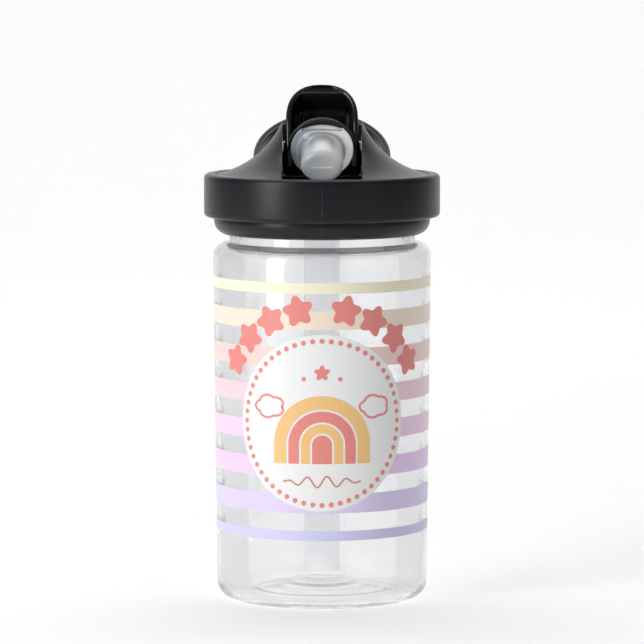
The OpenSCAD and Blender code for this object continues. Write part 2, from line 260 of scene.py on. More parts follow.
class Paint:
    """One material: node() adds any node and hands back its output as a Value."""

    def __init__(self, name):
        self.material = bpy.data.materials.new(name)
        self.material.use_nodes = True
        self.tree = self.material.node_tree
        self.tree.nodes.clear()
        self.place = self.node("ShaderNodeTexCoord", {}, {}, "Object")

    def node(self, kind, settings, sockets, out=0):
        node = self.tree.nodes.new(kind)
        for key, value in settings.items():
            setattr(node, key, value)
        for key, value in sockets.items():
            if isinstance(value, Value):
                self.tree.links.new(value.socket, node.inputs[key])
            else:
                node.inputs[key].default_value = value
        return Value(self, node.outputs[out])

    def axes(self):
        split = self.node("ShaderNodeSeparateXYZ", {}, {0: self.place})
        return [Value(self, socket) for socket in split.socket.node.outputs]

    def noise(self, scale, detail=2.0, stretch=(1, 1, 1)):
        place = self.node("ShaderNodeVectorMath", {"operation": "MULTIPLY"},
                          {0: self.place, 1: stretch})
        return self.node("ShaderNodeTexNoise", {},
                         {"Vector": place, "Scale": scale, "Detail": detail})

    def mix(self, share, first, second):
        """A colour between two colours; share is 0 for the first and 1 for the second."""
        return self.node("ShaderNodeMix", {"data_type": "RGBA"}, {0: share, 6: first, 7: second}, 2)

    def bump(self, height, distance, strength=1.0):
        return self.node("ShaderNodeBump", {},
                         {"Height": height, "Distance": distance, "Strength": strength})

    def plastic(self, **sockets):
        named = {key.replace("_", " "): value for key, value in sockets.items()}
        return self.node("ShaderNodeBsdfPrincipled", {}, named)

    def finish(self, surface):
        end = self.tree.nodes.new("ShaderNodeOutputMaterial")
        self.tree.links.new(surface.socket, end.inputs["Surface"])
        return self.material

    def clear_to_lamps(self, surface, tint, straight=0.0):
        """Clear plastic passes lamp light on, where a plain glass shader would cast a dark
        shadow. So shadow rays meet a see-through tint, and other rays the real surface. A thin
        wall also lets a share of the other rays go straight through, without bending them."""
        shadow = self.node("ShaderNodeLightPath", {}, {}, "Is Shadow Ray").math("MAXIMUM", straight)
        window = self.node("ShaderNodeBsdfTransparent", {}, {"Color": tint})
        return self.node("ShaderNodeMixShader", {}, {0: shadow, 1: surface, 2: window})


# %% [markdown]
# ## The finishes
# Moulded black plastic isn't one black. The cap has a fine spark-eroded grain, which blurs
# what it mirrors. The cover is smoother and so looks lighter at its bends, and the spout is
# nearly polished. Each finish mixes two close colours with slow noise, lets its roughness
# wander a little, and adds a grain far too fine to see as bumps.

# %% Black plastics
def black_plastic(name, dark, light, rough, grain, grain_height, wander=0.05):
    paint = Paint(name)
    cloud = paint.noise(35.0)
    fine = paint.noise(grain, 3.0)
    scuffs = paint.noise(90.0, 4.0, (1, 1, 6)).ramp(0.62, 0.74)
    colour = paint.mix(cloud, (*dark, 1), (*light, 1))
    roughness = cloud * wander + fine * wander + scuffs * 0.04 + rough
    return paint, colour, roughness, fine * grain_height + scuffs * (grain_height * 0.5)


def cap_black():
    """The cap also shows its mould: a parting line down the front and back, and a gate mark."""
    paint, colour, roughness, height = black_plastic(
        "cap_black", (0.009, 0.009, 0.012), (0.013, 0.013, 0.017), 0.27, 2600.0, 0.6)
    x, y, z = paint.axes()
    low_band = 1 - (z - (RIM_Z - 2.5 * MM)).ramp(0.0, 1.0 * MM)
    line = (1 - x.size().ramp(0.05 * MM, 0.16 * MM)) * low_band
    across, up = x / (0.55 * MM), (z - (SKIRT_Z + 9 * MM)) / (0.55 * MM)
    spot = 1 - (across * across + up * up).ramp(0.5, 1.3)
    gate = spot * (y < 0)
    colour = paint.mix(line * 0.5 + gate * 0.2, colour, (0.05, 0.05, 0.056, 1))
    raised = height + line * 1.2 - gate * 2.0
    normal = paint.bump(raised, 0.03 * MM, 0.8)
    return paint.finish(paint.plastic(Base_Color=colour, Roughness=roughness, Normal=normal,
                                      Specular_IOR_Level=0.25))


def cover_black():
    paint, colour, roughness, height = black_plastic(
        "cover_black", (0.018, 0.018, 0.02), (0.026, 0.026, 0.029), 0.28, 1800.0, 0.35)
    normal = paint.bump(height, 0.02 * MM, 0.7)
    return paint.finish(paint.plastic(Base_Color=colour, Roughness=roughness, Normal=normal,
                                      Specular_IOR_Level=0.35))


def spout_black():
    paint, colour, roughness, height = black_plastic(
        "spout_black", (0.006, 0.006, 0.008), (0.01, 0.01, 0.012), 0.13, 1500.0, 0.2)
    normal = paint.bump(height, 0.012 * MM, 0.6)
    return paint.finish(paint.plastic(Base_Color=colour, Roughness=roughness, Normal=normal,
                                      Specular_IOR_Level=0.5))


# %% [markdown]
# The body is clear, hard and glossy, with faint flow waves from moulding. The mouthpiece and
# the seals are silicone: light goes in, scatters and comes out milky. The straw is a thin
# frosty tube.

# %% Clear and milky plastics
def clear_body():
    paint = Paint("clear_body")
    waves = paint.noise(22.0, 1.0, (1, 1, 0.25))
    dust = paint.noise(700.0, 3.0).ramp(0.66, 0.8)
    normal = paint.bump(waves, 0.25 * MM, 0.25)
    glass = paint.plastic(Base_Color=(0.915, 0.916, 0.919, 1), Roughness=dust * 0.05 + 0.015,
                          Transmission_Weight=1.0, IOR=1.4, Normal=normal)
    return paint.finish(paint.clear_to_lamps(glass, (0.97, 0.972, 0.974, 1), 0.15))


def mouth_silicone():
    """Milky, with painted light: lighter on the side away from the left softbox, where light that came
    in would leave again. A faint painted emission stands in for light scattered inside the thin
    flange and tip. A fine step runs along the flange under its trimmed top; the step and the ring
    where the nipple meets the flange are darkened with painted shade."""
    paint = Paint("mouth_silicone")
    x, y, z = paint.axes()
    cloud = paint.noise(120.0, 2.0)
    fine = paint.noise(1400.0, 2.0)
    # Painted light: the colour is lighter towards the side away from the left softbox.
    painted_far_side_light = (x + cloud * 0.004).ramp(-9 * MM, 9 * MM)
    colour = paint.mix(painted_far_side_light, (0.40, 0.46, 0.53, 1), (0.78, 0.76, 0.74, 1))
    up = z - (PIVOT.z + 4.0 * MM) + x * x * (1.5 / 0.2)
    step = (1 - (up - 6.3 * MM).size().ramp(0.1 * MM, 0.5 * MM)) * (x.size() < 6.8 * MM)
    tilt = math.radians(25)
    ahead = (y + 9.5 * MM) * -math.cos(tilt) - (z - PIVOT.z - 4 * MM) * math.sin(tilt)
    root_painted_shade = 1 - (ahead - 2.5 * MM).size().ramp(0.2 * MM, 1.1 * MM)
    # Painted shade: darker along the flange's step and round where the nipple meets the flange.
    colour = paint.mix(step * 0.55 + root_painted_shade * 0.45, colour, (0.16, 0.17, 0.2, 1))
    # Painted light: an emission in the flange and towards the tip, stronger on the far side.
    flange = (1 - (ahead - 1.9 * MM).ramp(0.0, 0.5 * MM)) * (1 - step * 0.7)
    tip = (ahead - 7 * MM).ramp(0.0, 4 * MM)
    painted_inner_light = paint.mix(flange * (painted_far_side_light * 0.8 + 0.2) + tip * 0.2, (0.0, 0.0, 0.0, 1),
                             (0.19, 0.19, 0.195, 1))
    normal = paint.bump(fine * 0.5 + cloud + step * -6.0, 0.03 * MM, 0.4)
    skin = paint.plastic(Base_Color=colour, Emission_Color=painted_inner_light,
                         Emission_Strength=1.0, Roughness=cloud * 0.08 + 0.22,
                         Transmission_Weight=0.4, IOR=1.41, Normal=normal, Coat_Weight=0.25,
                         Coat_Roughness=0.12)
    return paint.finish(paint.clear_to_lamps(skin, (0.75, 0.78, 0.8, 1)))


def seal_silicone():
    paint = Paint("seal_silicone")
    cloud = paint.noise(160.0, 2.0)
    fine = paint.noise(1800.0, 2.0)
    colour = paint.mix(cloud, (0.62, 0.64, 0.66, 1), (0.72, 0.73, 0.74, 1))
    normal = paint.bump(fine, 0.02 * MM, 0.4)
    return paint.finish(paint.plastic(Base_Color=colour, Roughness=fine * 0.1 + 0.42,
                                      Normal=normal, Subsurface_Weight=0.15))


def straw_plastic():
    paint = Paint("straw_plastic")
    streak = paint.noise(260.0, 2.0, (1, 1, 0.04))
    colour = paint.mix(streak, (0.93, 0.94, 0.95, 1), (0.97, 0.975, 0.98, 1))
    normal = paint.bump(streak, 0.04 * MM, 0.3)
    frost = paint.plastic(Base_Color=colour, Roughness=streak * 0.1 + 0.25,
                          Transmission_Weight=0.9, IOR=1.1, Normal=normal)
    return paint.finish(paint.clear_to_lamps(frost, (0.9, 0.91, 0.93, 1)))


CAP_BLACK, COVER_BLACK, SPOUT_BLACK = cap_black(), cover_black(), spout_black()
CLEAR_BODY, MOUTH_SILICONE = clear_body(), mouth_silicone()
SEAL_SILICONE, STRAW_PLASTIC = seal_silicone(), straw_plastic()
print("finishes:", [m.name for m in bpy.data.materials if m.use_nodes][:12])


# %% [markdown]
# The print is ink on the outside of the body. Each ink is an even pastel with a soft sheen,
# a barely visible grain of printed dots, and a little more gloss where it lies thick.

# %% Printing inks
def ink(name, colour):
    paint = Paint("ink_" + name)
    grain = paint.noise(2200.0, 1.0)
    blotch = paint.noise(60.0, 2.0)
    deep = tuple(c * 0.95 for c in colour)
    tone = paint.mix(grain * 0.5 + blotch * 0.5, (*deep, 1), (*colour, 1))
    normal = paint.bump(grain, 0.01 * MM, 0.3)
    return paint.finish(paint.plastic(Base_Color=tone, Roughness=blotch * 0.08 + 0.3,
                                      Normal=normal, Specular_IOR_Level=0.4))


def give(piece, material, body, slot, *nodes):
    """Puts a finish on a piece, ties it to the body that moves it and hides the frame's parts it stands for.
    """
    piece.data.materials.clear()
    piece.data.materials.append(material)
    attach(piece, body)
    if nodes:
        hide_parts(*nodes)
    return piece


# %% [markdown]
# ## The clear body
# The real body is blown or moulded in one piece, so its wall is even, its bottom is pushed
# up to stand steady, and its neck carries a thread. It is turned from one closed outline,
# outside and inside together, because a see-through part needs both faces of its wall to
# bend light as the real one does.

# %% The body's outline
FOOT_SIDE = 35.5
FOOT_R = 28.0
PUSH_UP = 4.5
WALL = 1.6
BASE_WALL = 2.2
SHOULDER_Z = 120.6
SHOULDER_ROUND = 5.0
CORNER_Z = 5.2
NECK_R = 31.4
NECK_WALL = 2.0


def underside(r):
    """Height of the pushed-up bottom, with two soft rings that stiffen it."""
    dome = PUSH_UP * (1 + math.cos(math.pi * r / FOOT_R)) / 2
    rings = sum(0.35 * math.exp(-((r - at) / 0.9) ** 2) for at in (11.0, 21.5))
    return dome + rings


def body_outline():
    body_r = BODY_R / MM
    neck_top = NECK_TOP / MM
    base = [(FOOT_R * i / 40, underside(FOOT_R * i / 40)) for i in range(41)]
    foot = arc((FOOT_SIDE - CORNER_Z, CORNER_Z), CORNER_Z, -90, 0, 12)
    corner = (body_r - SHOULDER_ROUND, SHOULDER_Z - SHOULDER_ROUND)
    shoulder = arc(corner, SHOULDER_ROUND, 0, 90, 12)
    neck = [(NECK_R, SHOULDER_Z), (NECK_R, neck_top - 0.5), (NECK_R - 0.5, neck_top),
            (NECK_R - NECK_WALL + 0.5, neck_top), (NECK_R - NECK_WALL, neck_top - 0.5),
            (NECK_R - NECK_WALL, SHOULDER_Z - WALL)]
    inner = CORNER_Z - WALL
    inside = list(reversed(
        [(r, z + BASE_WALL) for r, z in base]
        + arc((FOOT_SIDE - CORNER_Z, inner + BASE_WALL), inner, -90, 0, 12)
        + arc(corner, SHOULDER_ROUND - WALL, 0, 90, 12)))
    return base + foot + shoulder + neck + inside


body = lathe("clear_bottle", body_outline(), steps=160, close=False, angle=50)
give(body, CLEAR_BODY, "bottle", "clear_body", "bottle_body")


# %% [markdown]
# The neck's thread is one ridge that climbs round the neck. Its cross-section is drawn once
# and carried round by the Screw modifier. It runs out to nothing at both ends, as a moulded
# thread does, so that the lid finds it easily.

# %% Threads
PITCH = 5.0
TURNS = 1.25
THREAD_H, THREAD_ROOT, THREAD_CREST = 1.5, 2.2, 1.0
THREAD_GAP, FLANK_GAP = 0.4, 0.25


def thread(name, wall_r, side, low_z, start):
    at_wall, at_crest = wall_r + side * 0.02, wall_r + side * THREAD_H
    section = [(at_wall, low_z - THREAD_ROOT / 2), (at_crest, low_z - THREAD_CREST / 2),
               (at_crest, low_z + THREAD_CREST / 2), (at_wall, low_z + THREAD_ROOT / 2)]
    turn = math.radians(start)
    points = [(r * MM * math.cos(turn), r * MM * math.sin(turn), z * MM) for r, z in section]
    piece = trace(points + points[:1])
    bpy.ops.object.mode_set(mode="OBJECT")
    done(piece, name, 0)
    modify(piece, "SCREW", angle=math.tau * TURNS, screw_offset=PITCH * TURNS * MM, axis="Z",
           steps=90, render_steps=90, use_smooth_shade=False)

    def run_out(co):
        climbed = (co.z / MM - low_z) / PITCH * 360
        share = min(1.0, max(0.02, min(climbed + 8, 360 * TURNS + 8 - climbed) / 30))
        flat = Vector((co.x, co.y))
        rise = (flat.length - wall_r * MM) * share
        flat = flat.normalized() * (wall_r * MM + rise)
        return Vector((flat.x, flat.y, co.z))

    reshape(piece, run_out)
    edit(piece)
    bpy.ops.mesh.select_all(action="DESELECT")
    bpy.ops.mesh.select_non_manifold(extend=False)
    bpy.ops.mesh.edge_face_add()
    bpy.ops.object.mode_set(mode="OBJECT")
    outward(piece)
    return done(piece, name, 35)


thread_low = NECK_TOP / MM - THREAD_ROOT - PITCH * TURNS
neck_thread = thread("neck_thread", NECK_R, 1, thread_low, 0)
give(neck_thread, CLEAR_BODY, "bottle", "clear_body")
print("neck thread", len(neck_thread.data.polygons), "faces")

# %% [markdown]
# ## The print
# On the real bottle the picture is printed flat and wrapped round the body. It is made the
# same way here: each shape is drawn flat, cut into upright strips so that it can bend, and
# then wrapped onto the body with a film's thickness. Layers lie over each other a few
# hundredths of a millimetre apart: stripes, then the white disc, then the drawing.

# %% Wrapping flat shapes round the body
INK_T = 0.03
STRIP = 1.6


def side_radius(z):
    """Outer radius of the tapered body at a height, in millimetres."""
    share = (z - CORNER_Z) / (SHOULDER_Z - SHOULDER_ROUND - CORNER_Z)
    return FOOT_SIDE + (BODY_R / MM - FOOT_SIDE) * share


def wrap(piece, layer):
    """Bends a flat drawing (x across, z up) round the front of the body and gives it depth."""
    mean_r = (FOOT_SIDE + BODY_R / MM) / 2

    def bent(co):
        turn = co.x / MM / mean_r
        r = (side_radius(co.z / MM) + 0.02 + 0.06 * layer) * MM
        return Vector((r * math.sin(turn), -r * math.cos(turn), co.z))

    reshape(piece, bent)
    edit(piece)
    bpy.ops.mesh.quads_convert_to_tris()
    bpy.ops.object.mode_set(mode="OBJECT")
    modify(piece, "SOLIDIFY", thickness=INK_T * MM, offset=1.0)
    outward(piece)
    return done(piece, None, 30)


def into_strips(piece, low_x, high_x):
    """Cuts a flat shape with upright planes, so that it can follow the curve."""
    count = int((high_x - low_x) / STRIP)
    for i in range(1, count):
        x = (low_x + (high_x - low_x) * i / count) * MM
        edit(piece)
        bpy.ops.mesh.bisect(plane_co=(x, 0, 0), plane_no=(1, 0, 0))
    bpy.ops.object.mode_set(mode="OBJECT")


def shape(outline):
    """A flat face from an outline of (x, z) points, facing the front."""
    points = [(x * MM, 0, z * MM) for x, z in outline]
    piece = trace(points, close=True)
    bpy.ops.mesh.normals_make_consistent(inside=False)
    bpy.ops.object.mode_set(mode="OBJECT")
    done(piece, None, 0)
    if piece.data.polygons[0].normal.y > 0:
        piece.data.flip_normals()
    xs = [x for x, z in outline]
    into_strips(piece, min(xs), max(xs))
    return piece


def ribbon(path, width):
    """A line of even width along a path of (x, z) points, made from a long thin grid."""
    deselect()
    bpy.ops.mesh.primitive_grid_add(x_subdivisions=len(path) - 1, y_subdivisions=1, size=2)
    piece = bpy.context.object
    count = len(path)

    def along(co):
        i = min(count - 1, max(0, round((co.x + 1) / 2 * (count - 1))))
        here, last, after = Vector(path[i]), Vector(path[max(0, i - 1)]), Vector(path[min(count - 1, i + 1)])
        if (Vector(path[0]) - Vector(path[-1])).length < 0.01 and i in (0, count - 1):
            last, after = Vector(path[-2]), Vector(path[1])
        way = (after - last).normalized()
        out = Vector((-way.y, way.x)) * width / 2 * (1 if co.y > 0 else -1)
        return Vector(((here.x + out.x) * MM, 0, (here.y + out.y) * MM))

    return reshape(piece, along)


# %% [markdown]
# Eight stripes fade from pale yellow through peach and pink to lilac. They run round the
# front and the sides and stop short of the back, where the seam of the wrap would be.

# %% Stripes
STRIPES = [
    ("yellow", 107.6, 3.6, (0.98, 0.93, 0.72)),
    ("peach", 97.0, 6.1, (0.97, 0.82, 0.68)),
    ("salmon", 84.7, 6.3, (0.96, 0.70, 0.66)),
    ("pink", 72.5, 6.3, (0.96, 0.69, 0.76)),
    ("rose", 60.4, 6.3, (0.96, 0.69, 0.89)),
    ("lilac", 48.2, 6.4, (0.90, 0.67, 0.96)),
    ("lavender", 36.1, 6.4, (0.79, 0.69, 0.96)),
    ("blue", 25.3, 3.3, (0.70, 0.68, 0.96)),
]
STRIPE_HALF = 64.0
for name, middle, height, colour in STRIPES:
    deselect()
    bpy.ops.mesh.primitive_grid_add(x_subdivisions=84, y_subdivisions=1, size=2)
    stripe = bpy.context.object

    def to_stripe(co, middle=middle, height=height):
        return Vector((co.x * STRIPE_HALF * MM, 0, (middle + co.y * height / 2) * MM))

    reshape(stripe, to_stripe)
    wrap(stripe, 0)
    done(stripe, "stripe_" + name, 30)
    give(stripe, ink(name, colour), "bottle", "clear_body")
print("stripes:", len(STRIPES))

# %% [markdown]
# A white disc carries the drawing, with a ring of coral dots just inside its edge.

# %% White disc and ring of dots
DISC_Z = 62.9
DISC_R = 29.4
DOTS = 56
DOTS_R = 27.3
CORAL = ink("coral", (0.87, 0.28, 0.25))
GOLD = ink("gold", (0.95, 0.60, 0.24))
WHITE = ink("white", (0.93, 0.93, 0.93))
disc = shape([(DISC_R * math.cos(math.tau * i / 120), DISC_Z + DISC_R * math.sin(math.tau * i / 120))
              for i in range(120)])
wrap(disc, 1)
done(disc, "white_disc", 30)
give(disc, WHITE, "bottle", "clear_body")


def dot(x, z, radius, sides=14):
    deselect()
    bpy.ops.mesh.primitive_circle_add(vertices=sides, radius=radius * MM, fill_type="NGON",
                                      location=(x * MM, 0, z * MM), rotation=(math.pi / 2, 0, 0))
    return done(bpy.context.object, None, 0)


ring = [dot(DOTS_R * math.sin(math.tau * i / DOTS), DISC_Z + DOTS_R * math.cos(math.tau * i / DOTS), 0.85)
        for i in range(DOTS)]
ring_of_dots = join("ring_of_dots", ring, 0)
wrap(ring_of_dots, 2)
done(ring_of_dots, "ring_of_dots", 30)
give(ring_of_dots, CORAL, "bottle", "clear_body")
print("dots in the ring:", DOTS)

# %% [markdown]
# The drawing is a plain rainbow of four arches. Each arch is one closed outline, up its
# outer side and back down its inner side. Above it go two small outlined clouds and a star,
# and below it a wavy flourish.

# %% Rainbow, clouds and flourish
FEET_Z = 49.4


def arch(outer, inner, feet_z, spring_z):
    outline = [(-outer, feet_z)] + [(-x, z) for x, z in arc((0, spring_z), outer, 0, 180, 36)]
    outline += [(outer, feet_z)]
    if inner > 0:
        back = [(x, z) for x, z in arc((0, spring_z), inner, 0, 180, 30)]
        outline += [(inner, feet_z)] + back + [(-inner, feet_z)]
    return shape(outline)


def rainbow(name, spans, material):
    arches = [arch(outer, inner, FEET_Z, FEET_Z + 6.2) for outer, inner in spans]
    piece = join(name, arches, 0)
    wrap(piece, 2)
    done(piece, name, 30)
    return give(piece, material, "bottle", "clear_body")


rainbow("rainbow_gold", [(16.4, 12.0), (7.0, 4.0)], GOLD)
rainbow("rainbow_coral", [(11.3, 7.7), (3.3, 0)], CORAL)


def cloud(x, z, wide, high, lobes=5, steps=70):
    path = []
    for i in range(steps + 1):
        turn = math.tau * i / steps
        puff = 1 + 0.2 * abs(math.sin(lobes * turn / 2))
        path.append((x + wide * puff * math.cos(turn), z + high * puff * math.sin(turn)))
    return ribbon(path, 0.75)


def star(x, z, size, lean=0.0, depth=0.2, steps=50):
    """A plump star with soft points and soft valleys."""
    outline = []
    for i in range(steps):
        turn = math.tau * i / steps
        reach = size * (1 - depth + depth * math.cos(5 * turn))
        outline.append((x + reach * math.sin(turn + lean), z + reach * math.cos(turn + lean)))
    return shape(outline)


small_shapes = [cloud(-18.0, 68.2, 4.5, 3.2), cloud(18.0, 68.2, 4.5, 3.2)]
small_shapes += [star(0, 79.6, 2.7), dot(-6.0, 77.6, 0.75), dot(6.0, 77.6, 0.75)]
sky = join("clouds_and_star", small_shapes, 0)
wrap(sky, 2)
done(sky, "clouds_and_star", 30)
give(sky, CORAL, "bottle", "clear_body")

wave = [(-13.2 + 26.4 * i / 90, 43.4 + 1.9 * math.sin(math.tau * 4 * i / 90) * math.sin(math.pi * i / 90))
        for i in range(91)]
flourish = ribbon(wave, 0.5)
wrap(flourish, 2)
done(flourish, "flourish", 30)
give(flourish, ink("brown", (0.62, 0.26, 0.16)), "bottle", "clear_body")

# %% [markdown]
# Over the disc stands an arc of plump coral stars.

# %% Arc of stars
ARC_R = 38.0
STARS = [side * turn for side in (-1, 1) for turn in (12.0, 27.5, 43.0, 58.5)]
stars = []
for turn in STARS:
    lean = math.radians(turn)
    stars.append(star(ARC_R * math.sin(lean), DISC_Z + ARC_R * math.cos(lean), 5.3, lean, 0.17))
star_arc = join("star_arc", stars, 0)
wrap(star_arc, 1)
done(star_arc, "star_arc", 30)
give(star_arc, CORAL, "bottle", "clear_body")
print("stars:", len(STARS))

# %% [markdown]
# ## The screw cap
# The cap is one moulding: a thick ring for the hand, a smaller skirt under it, the thread
# inside, and a deck with a well where the spout lies. All of it is round, so it is turned
# from one closed outline.

# %% Cap
DECK_Z, DECK_LOW, WELL_Z, WELL_LOW = 141.2, 139.4, 136.2, 134.4
BORE_R, PLUG_R, WELL_R = 33.3, 28.9, 26.9
ring_r, rim_z = RING_R / MM, RIM_Z / MM
SKIRT_R, SKIRT_LOW, SKIRT_ROUND, RING_Z = 36.4, 123.0, 4.8, 129.0
skirt_edge = arc((SKIRT_R - SKIRT_ROUND, SKIRT_LOW + SKIRT_ROUND), SKIRT_ROUND, -69, 0, 14)
upper = rounded([
    (SKIRT_R, RING_Z, 0.35), (ring_r, RING_Z, 3.4), (ring_r, rim_z, 3.8), (COVER_R / MM + 0.3, rim_z, 0.5),
    (COVER_R / MM + 0.3, DECK_Z, 0.3), (WELL_R, DECK_Z, 0.4), (WELL_R, WELL_Z, 0.8), (2.5, WELL_Z, 0.2),
    (2.5, WELL_LOW - 9, 0.2), (3.9, WELL_LOW - 9, 0.4), (3.9, WELL_LOW, 0.3), (PLUG_R, WELL_LOW, 0.9),
    (PLUG_R, DECK_LOW, 0.2), (BORE_R, DECK_LOW, 0.3), (BORE_R, 124.2, 0.3)], 8)
cap = lathe("cap_shell", skirt_edge + upper, steps=160, angle=35)
give(cap, CAP_BLACK, "lid", "cap_black", "screw_cap")
slope = (THREAD_ROOT - THREAD_CREST) / THREAD_H
thread_shift = (THREAD_ROOT + THREAD_CREST) / 2 - slope * THREAD_GAP / 2 + FLANK_GAP
cap_thread = thread("cap_thread", BORE_R, -1, thread_low - thread_shift - PITCH / 9, -40)
give(cap_thread, CAP_BLACK, "lid", "cap_black")

# %% [markdown]
# ## The cover and its cheeks
# The cover fills the ring's mouth and rises on each side of the spout in a hollow sweep. One
# cheek is made from a grid: its rows run outwards along the sweep and its columns round the
# bottle, and the row nearest the spout is pulled down as the recess's wall. The other cheek
# is its mirror image.

# %% Cheeks
RECESS_X = 13.3
CHEEK_CURVE = 31.4
BRIDGE_IN_R, BRIDGE_T = 27.2, 1.4
cover_r, cheek_top = COVER_R / MM, CHEEK_TOP / MM


def sweep_centre():
    low, top = Vector((cover_r, rim_z - 0.3)), Vector((RECESS_X, cheek_top))
    way = top - low
    reach = math.sqrt(CHEEK_CURVE ** 2 - way.length ** 2 / 4)
    return (low + top) / 2 + Vector((way.y, -way.x)).normalized() * reach


SWEEP = sweep_centre()


def sweep_height(r):
    return SWEEP.y - math.sqrt(max(0.0, CHEEK_CURVE ** 2 - (SWEEP.x - r) ** 2))


def rear_height(y):
    """The rear of each cheek falls away in a second hollow, which leaves room for a finger."""
    r, middle = 24.0, 31.0
    if y >= middle:
        return rim_z + 0.1
    return rim_z + 0.1 + r - math.sqrt(max(0.0, r * r - (middle - y) ** 2)) if middle - y < r else 1e3


def soft_min(a, b, blend=1.6):
    h = max(0.0, min(1.0, 0.5 + 0.5 * (b - a) / blend))
    return b + (a - b) * h - blend * h * (1 - h)


def cheek(side):
    rows, columns = 40, 56
    deselect()
    bpy.ops.mesh.primitive_grid_add(x_subdivisions=rows, y_subdivisions=columns, size=2)
    piece = bpy.context.object

    def onto_sweep(co):
        out = ((co.x + 1) / 2) ** 1.35
        r = RECESS_X + 0.02 + (cover_r - RECESS_X - 0.02) * out
        turn = co.y * math.acos(RECESS_X / r)
        x, y = r * math.cos(turn), r * math.sin(turn)
        z = soft_min(sweep_height(r), rear_height(y))
        return Vector((side * x * MM, y * MM, z * MM))

    reshape(piece, onto_sweep)
    edit(piece)
    bpy.ops.mesh.remove_doubles(threshold=0.01 * MM)
    bpy.ops.mesh.select_all(action="DESELECT")
    bpy.ops.mesh.select_non_manifold(extend=False)
    bpy.ops.mesh.extrude_region_move()
    bpy.ops.object.mode_set(mode="OBJECT")
    for vertex in piece.data.vertices:
        if vertex.select:
            vertex.co.z = DECK_Z * MM
    edit(piece)
    bpy.ops.mesh.select_all(action="DESELECT")
    bpy.ops.mesh.select_non_manifold(extend=False)
    bpy.ops.mesh.edge_face_add()
    bpy.ops.object.mode_set(mode="OBJECT")
    outward(piece)
    modify(piece, "BEVEL", width=0.55 * MM, segments=4, limit_method="ANGLE",
           angle_limit=math.radians(38), harden_normals=False)
    return done(piece, None, 40)


def block(low, high, bevel=0.3):
    """A block between two corners in millimetres, with its edges eased."""
    deselect()
    size = [(b - a) * MM for a, b in zip(low, high)]
    middle = [(a + b) / 2 * MM for a, b in zip(low, high)]
    bpy.ops.mesh.primitive_cube_add(size=1, location=middle)
    piece = bpy.context.object
    piece.scale = size
    done(piece, None, 0)
    return modify(piece, "BEVEL", width=bevel * MM, segments=3)


def bridge(front):
    """The thin bridge that joins the cheeks across the recess, in front or behind."""
    outline = []
    half = math.degrees(math.asin((RECESS_X + 0.3) / cover_r))
    inner_half = math.degrees(math.asin((RECESS_X + 0.3) / BRIDGE_IN_R))
    outline += arc((0, 0), cover_r, -90 - half, -90 + half, 16)
    outline += arc((0, 0), BRIDGE_IN_R, -90 + inner_half, -90 - inner_half, 16)
    points = [(x * MM, (y if front else -y) * MM, DECK_Z * MM) for x, y in outline]
    piece = trace(points, close=True)
    bpy.ops.mesh.extrude_region_move(TRANSFORM_OT_translate={"value": (0, 0, BRIDGE_T * MM)})
    bpy.ops.object.mode_set(mode="OBJECT")
    outward(piece)
    return modify(piece, "BEVEL", width=0.25 * MM, segments=3, limit_method="ANGLE")


cheeks = [cheek(1), cheek(-1)]
well_y = math.sqrt((WELL_R - 0.2) ** 2 - (RECESS_X + 2.2) ** 2) - 0.1
wall_x, wall_half = RECESS_X + 1.1, 1.1
walls = [block((s * wall_x - wall_half, -well_y, WELL_Z), (s * wall_x + wall_half, well_y, DECK_Z + 0.4))
         for s in (-1, 1)]
cover = join("cover_and_cheeks", cheeks + walls + [bridge(True), bridge(False)], 40)
give(cover, COVER_BLACK, "lid", "cover_black", "top_cover")
print("cover", len(cover.data.polygons), "faces")

# %% [markdown]
# ## The carry loop
# The loop is a strap bent into a ring and tilted up to the rear, so that a finger goes under
# it. Its band has eased edges and a shallow groove along its upper rim. It is turned flat,
# then tilted and set in place, and what would stand below the cover is cut off.

# %% Loop
LOOP_R, LOOP_WALL, LOOP_BAND, LOOP_TILT = 23.2, 2.2, 8.0, 36.0
half_band = LOOP_BAND / 2
loop_outline = rounded([
    (LOOP_R, -half_band, 0.8), (LOOP_R, half_band, 0.8), (LOOP_R - 1.1, half_band - 0.1, 0.3),
    (LOOP_R - 1.25, half_band - 0.35, 0.15), (LOOP_R - LOOP_WALL, half_band - 0.3, 0.4),
    (LOOP_R - LOOP_WALL, -half_band, 0.7)], 5)
loop = lathe("loop_band", loop_outline, steps=128)
loop.rotation_euler = (math.radians(LOOP_TILT), 0, 0)
loop.location = (0, 10 * MM, RIM_Z + 2.5 * MM)
done(loop, None, 0)
edit(loop)
bpy.ops.mesh.bisect(plane_co=(0, 0, (DECK_Z + 1.5) * MM), plane_no=(0, 0, -1),
                    clear_outer=True, use_fill=True)
bpy.ops.object.mode_set(mode="OBJECT")
outward(loop)
done(loop, "loop_band", 35)
give(loop, COVER_BLACK, "lid", "cover_black", "carry_loop")

# %% [markdown]
# ## The flip spout
# Seen from the front the hood is a round-topped scoop, hollow towards the mouthpiece. Its
# section is one line: in from the middle of the back, out to the side, forward to a rounded
# rim, and back along the inside. That section is carried along the hood's front outline, a
# grid bent into shape again, so that walls, rim and hollow flow into each other. A notch low in
# the back leaves room for the seal's rim when the spout is open.

# %% Hood
hood_half, hood_top = 12.1, HOOD_TOP / MM
pivot_z = PIVOT.z / MM
HOOD_WALL = 1.9
BARREL_R = 6.2
NOTCH = 8.0
CROWN_Z = hood_top - hood_half
VALVE_Y, VALVE_UP, VALVE_TILT = -9.5, 4.0, 25.0


def between(points, at):
    """Reads a curve given as (height, value) points, smoothly."""
    for (h0, v0), (h1, v1) in zip(points, points[1:]):
        if at <= h1 or h1 == points[-1][0]:
            t = max(0.0, min(1.0, (at - h0) / (h1 - h0)))
            return v0 + (v1 - v0) * t
    return points[-1][1]


